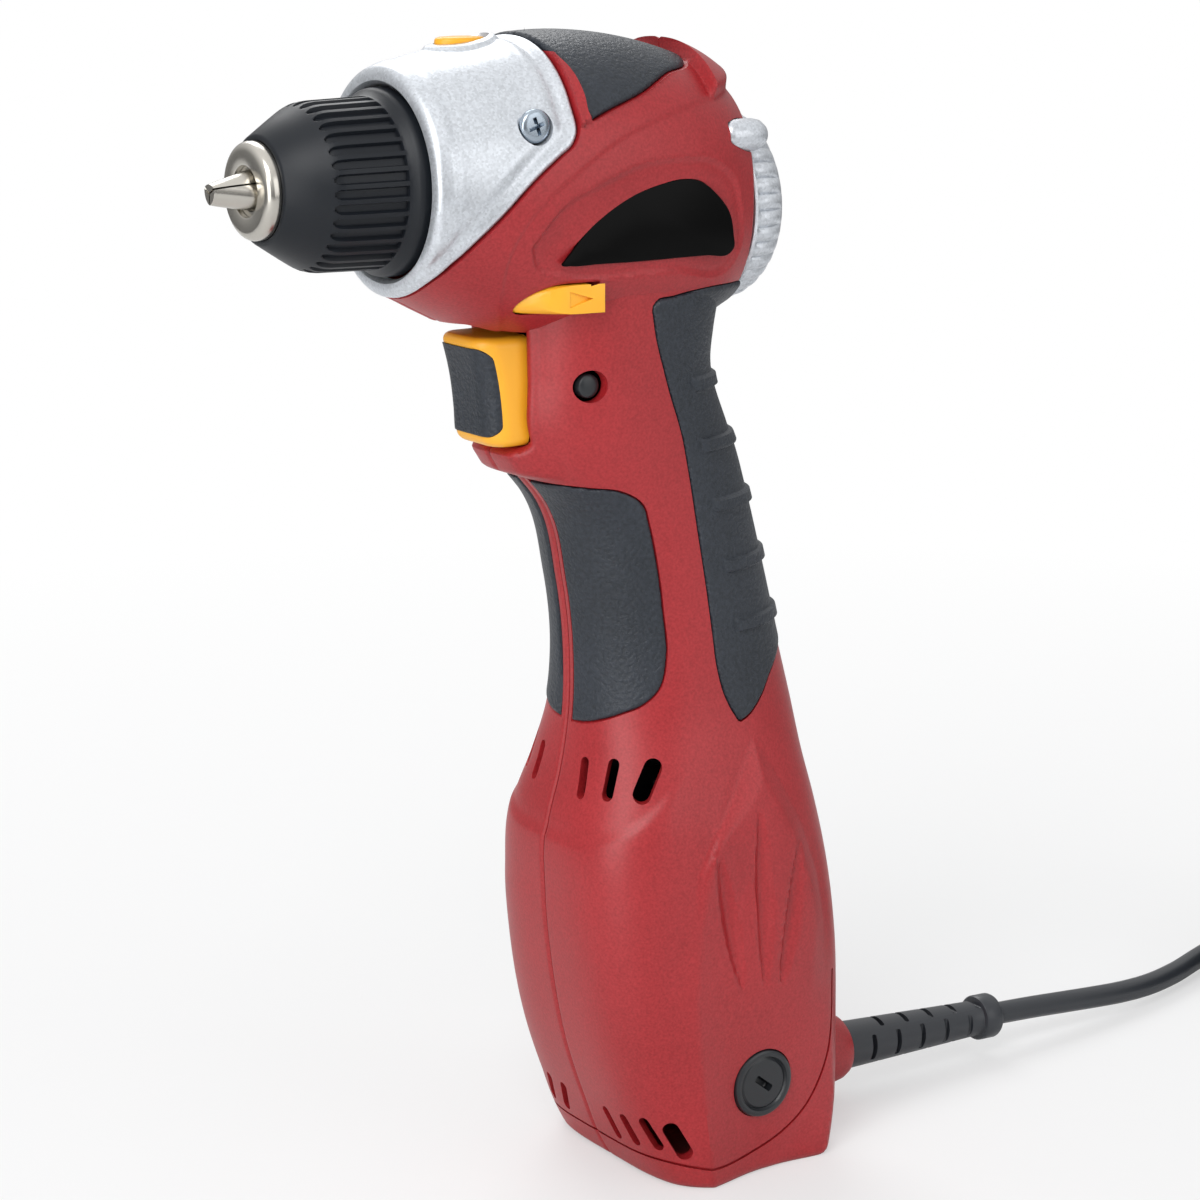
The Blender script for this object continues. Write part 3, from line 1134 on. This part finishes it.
def trigger_stack(lift, z0=182, z1=211, edge=0.01):
    """Level sections with round front corners, whose front follows the finger curve, rounded at
    both ends by edge."""
    z = (z0 + z1) / 2 - (z1 - z0) / 2 * np.cos(np.linspace(0, np.pi, 48))
    lift = lift - roll(z - z0, edge) - roll(z1 - z, edge)
    half, corner = (TRIGGER_HALF + lift)[:, None], (TRIGGER_CORNER + lift)[:, None]
    a = np.linspace(np.pi / 2, np.pi, 12)
    front = (curve(z, TRIGGER, 1) - lift)[:, None]
    one = np.stack([front + corner * (1 + np.cos(a)), half - corner + corner * np.sin(a)], -1)
    rear = np.stack([np.full_like(half, TRIGGER_REAR), half], -1)
    ring = np.concatenate([rear, one, one[:, ::-1] * [1, -1], rear * [1, -1]], 1)
    height = np.broadcast_to(z[:, None, None], (*ring.shape[:2], 1))
    return tube_solid("stack", np.concatenate([ring, height], -1))


def pad_space(grow):
    """The box of the pad, its corners rounded in the front view."""
    half = FINGER_HALF + grow
    space = block("space", (-90, -half, FINGER_Z[0] - grow), (-60.5, half, FINGER_Z[1] + grow))
    return rounded(space, FINGER_ROUND + grow, 6)


trigger = trigger_stack(0, *TRIGGER_Z, TRIGGER_EDGE)
seat = carve(trigger_stack(3), pad_space(SEAT_FIT), "INTERSECT")
carve(trigger, carve(seat, trigger_stack(-FINGER_DEPTH - 0.1)))
dress(trigger, "yellow_plastic", "trigger", ["trigger"], 40).name = "trigger_skin"
finger = carve(trigger_stack(FINGER_RISE), pad_space(0), "INTERSECT")
carve(finger, trigger_stack(-FINGER_DEPTH))
finger = dress(rounded(finger, 0.35, 2, 50), "grip_rubber", "trigger", ["trigger_pad"], 40)
finger.name = "finger_pad"

# %% [markdown]
# ## Lever, buttons and name plate
# The reversing lever reaches through both sides of the head. Its end has a slope for the thumb and
# a cut triangle that shows the direction. The two buttons are plain mouldings with round edges, a
# wound spring lifts the one of the spindle lock, and the plate is a thin sheet.

# %% Reversing lever
# plan of one end: along X from the slot's front, and inward from the shell's side
WING = np.array([(1.2, 11), (-1.2, 8.6), (-0.6, 6.4), (0.3, 5.3), (1.2, 4.4), (1.8, 3.5),
                 (2.5, 2.7), (3.8, 1.8), (5.6, 1.1), (7.6, 0.35), (9, 0), (18.2, -1.4), (18.2, 3),
                 (14.8, 3), (14.8, 5), (6, 9)])
WING_AT = (-66, -25.4)
ARM_HALF, ARM_Z, HUB_R, POST_HOLE_R = 2.5, (216.6, 221.6), 4.2, 2.06
MARK, MARK_FLOOR = [(-56.3, 220.9), (-56.3, 217.3), (-50.6, LEVER_Z)], 25.3
near = WING + WING_AT
plan = np.vstack([near, (near * [1, -1])[::-1]])
lever = tube_solid("lever", levels_of(plan, (LEVER_Z - LEVER_HALF, LEVER_Z + LEVER_HALF)))
carve(lever, lever_sweep(0), "INTERSECT")
# the rear end of each wing lies over the shell, about 1 mm clear of its sloping side
slope = [(-22, 215), (22, 215), (27.3, 223.5), (-27.3, 223.5)]
under = np.array([[(x, y, z) for y, z in slope] for x in (-51.2, LEVER_X)])
rounded(carve(lever, tube_solid("under", under)), 0.35, 3, 45)
for side in (-1, 1):
    carve(lever, side_prism("mark", MARK, *sorted((side * MARK_FLOOR, side * 30))))
carve(lever, block("arm", (-62, -ARM_HALF, ARM_Z[0]), (LEVER_X, ARM_HALF, ARM_Z[1])), "UNION")
carve(lever, turned("hub", [(z, HUB_R) for z in ARM_Z], (LEVER_X, 0, 0), "z"), "UNION")
carve(lever, turned("post_hole", [(210, POST_HOLE_R), (230, POST_HOLE_R)], (LEVER_X, 0, 0), "z"))
dress(lever, "yellow_plastic", "reversing_lever", ["reversing_lever"], 40)

# %% Buttons
LOCK_ON = [(-12.8, 0.01), (-12.8, 2.8), (-19.4, 2.8), (-19.9, 2.65), (-20.2, 2.3), (-20.4, 1.5),
           (-20.45, 0.01)]
CROWN = [(0.97, 271.1), (0.97, 274.7), (0.955, 275.1), (0.91, 275.4), (0.8, 275.6), (0.5, 275.7),
         (0.01, 275.75)]
lock = turned("lock_knob", LOCK_ON, (LOCK_ON_X, 0, LOCK_ON_Z), "y", 48)
dress(lock, "black_plastic", "lock_button", ["lock_button"])
crown = lock_oval("spindle_lock_knob", CROWN)
dress(crown, "yellow_plastic", "spindle_lock", ["spindle_lock_button"], 40)

# %% Spring of the spindle lock
SPRING_R, WIRE_R, SPRING_TURNS, SPRING_Z, SPRING_H = 3.05, 0.35, 3, 267.5, 3.2
turn, tube = grid(np.linspace(0, 2 * np.pi * SPRING_TURNS, 97), around(10))
r = SPRING_R + WIRE_R * np.cos(tube)
rise = SPRING_Z + SPRING_H * turn / (2 * np.pi * SPRING_TURNS) + WIRE_R * np.sin(tube)
wound = np.stack([LOCK_X + r * np.cos(turn), r * np.sin(turn), rise], -1)
spring = dress(tube_solid("lock_spring", wound), "steel", "housing", ["spindle_lock_spring"], 40)
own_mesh(spring)

# %% Name plate
plate = side_prism("plate", grown(PLATE, -0.15), -PLATE_Y - 0.8, -PLATE_Y - 0.02)
dress(rounded(plate, 0.2, 2, 60), "plate_black", "housing", ["name_plate"])

# %% [markdown]
# ## The studio
# A pale floor, a white surround and four soft lamps: a large one above and to the left, a low one
# at the left, a fill from the right and one from behind that lifts the upper edges.

# %% Floor
FLOOR_HALF = 1000
corners = np.array([[-1, -1, 0], [1, -1, 0], [1, 1, 0], [-1, 1, 0]]) * FLOOR_HALF
floor = mesh_object("floor", corners, [[0, 1, 2, 3]])
paper = finish("studio_paper", "E8E8E8", "E6E6E6", 0.8, 5.0, 0.0)
floor.data.materials.append(paper)
# seen straight on, the paper fades to white away from the object
tree = paper.node_tree
place = node(tree, "ShaderNodeTexCoord", {}).outputs["Object"]
far = node(tree, "ShaderNodeVectorMath", {0: place}, operation="LENGTH").outputs["Value"]
fade = node(tree, "ShaderNodeMapRange", {0: far, 1: 0.12, 2: 0.7, 3: 0.45, 4: 1.0}).outputs[0]
camera_ray = node(tree, "ShaderNodeLightPath", {}).outputs["Is Camera Ray"]
share = node(tree, "ShaderNodeMath", {0: fade, 1: camera_ray}, operation="MULTIPLY").outputs[0]
white = node(tree, "ShaderNodeEmission", {"Color": (1, 1, 1, 1)}).outputs[0]
last = next(n for n in tree.nodes if n.type == "OUTPUT_MATERIAL").inputs["Surface"]
mixed = node(tree, "ShaderNodeMixShader",
             {0: share, 1: last.links[0].from_socket, 2: white}).outputs[0]
tree.links.new(mixed, last)

# %% Lamps
def lamp(name, place, target, size, watts):
    """A square soft lamp that faces its target."""
    light = bpy.data.lights.new(name, "AREA")
    light.size, light.energy = size, watts
    thing = placed(name, light)
    thing.location = place
    thing.rotation_euler = (Vector(target) - Vector(place)).to_track_quat("-Z", "Y").to_euler()


lamp("key", (-0.9, -0.7, 1.2), (-0.02, 0, 0.15), 0.8, 11)
lamp("side", (-1.1, -0.55, 0.3), (-0.02, 0, 0.12), 0.7, 5)
lamp("fill", (0.5, -1.2, 0.5), (0, 0, 0.12), 0.9, 3)
lamp("rim", (0.3, 0.9, 1.1), (0, 0, 0.15), 0.8, 7)

# %% Surround
world = bpy.data.worlds.new("studio")
bpy.context.scene.world = world
world.use_nodes = True
tree = world.node_tree
tree.nodes.clear()
paths = node(tree, "ShaderNodeLightPath", {})
seen = node(tree, "ShaderNodeBackground", {"Color": (1, 1, 1, 1), "Strength": 1.0}).outputs[0]
glow = node(tree, "ShaderNodeBackground",
            {"Color": (0.97, 0.985, 1, 1), "Strength": 0.5}).outputs[0]
way = node(tree, "ShaderNodeTexCoord", {}).outputs["Generated"]
height = node(tree, "ShaderNodeSeparateXYZ", {0: way}).outputs["Z"]
bright = node(tree, "ShaderNodeMapRange", {0: height, 1: -0.2, 2: 0.8, 3: 0.15, 4: 1.1}).outputs[0]
mirror = node(tree, "ShaderNodeBackground", {"Color": (1, 1, 1, 1), "Strength": bright}).outputs[0]
other = node(tree, "ShaderNodeMixShader",
             {0: paths.outputs["Is Glossy Ray"], 1: glow, 2: mirror}).outputs[0]
both = node(tree, "ShaderNodeMixShader",
            {0: paths.outputs["Is Camera Ray"], 1: other, 2: seen}).outputs[0]
node(tree, "ShaderNodeOutputWorld", {"Surface": both})
bpy.context.scene.view_settings.view_transform = "Standard"
